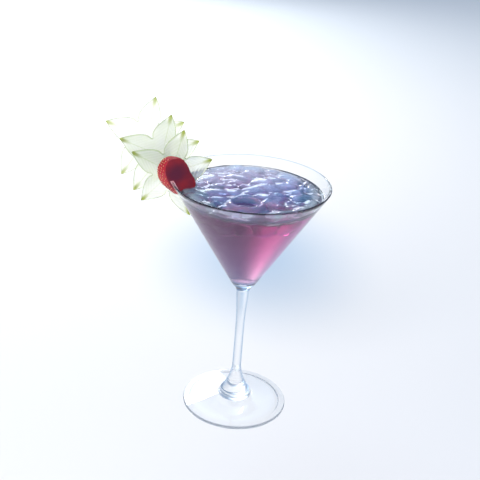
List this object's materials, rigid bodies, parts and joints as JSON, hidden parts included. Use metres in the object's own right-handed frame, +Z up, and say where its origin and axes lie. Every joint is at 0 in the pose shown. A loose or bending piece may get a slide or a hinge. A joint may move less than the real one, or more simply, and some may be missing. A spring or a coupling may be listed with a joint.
{
  "type": "martini cocktail",
  "caption": "Stemmed cone glass filled with an iced drink, with star-shaped fruit slices and a half strawberry slotted on its rim.",
  "frame": {"origin": "centre of the foot, on the table", "axes": "+Z up the stem; front towards -Y, with the garnish at -X"},
  "size_m": [0.1594, 0.1116, 0.2329],
  "materials": {
    "glass": "clear, polished",
    "drink": "clear mauve liquid",
    "ice": "wet, clear",
    "star_fruit": "moist translucent flesh with a green skin edge",
    "strawberry": "glossy seeded skin and a moist cut face",
    "strawberry_seed": "dry seeds"
  },
  "bodies": {
    "root": {"glass": "glass", "drink": "drink", "crushed_ice": "ice", "star_slice_1": "star_fruit", "star_slice_2": "star_fruit", "star_slice_3": "star_fruit", "strawberry": "strawberry"}
  },
  "joints": []
}
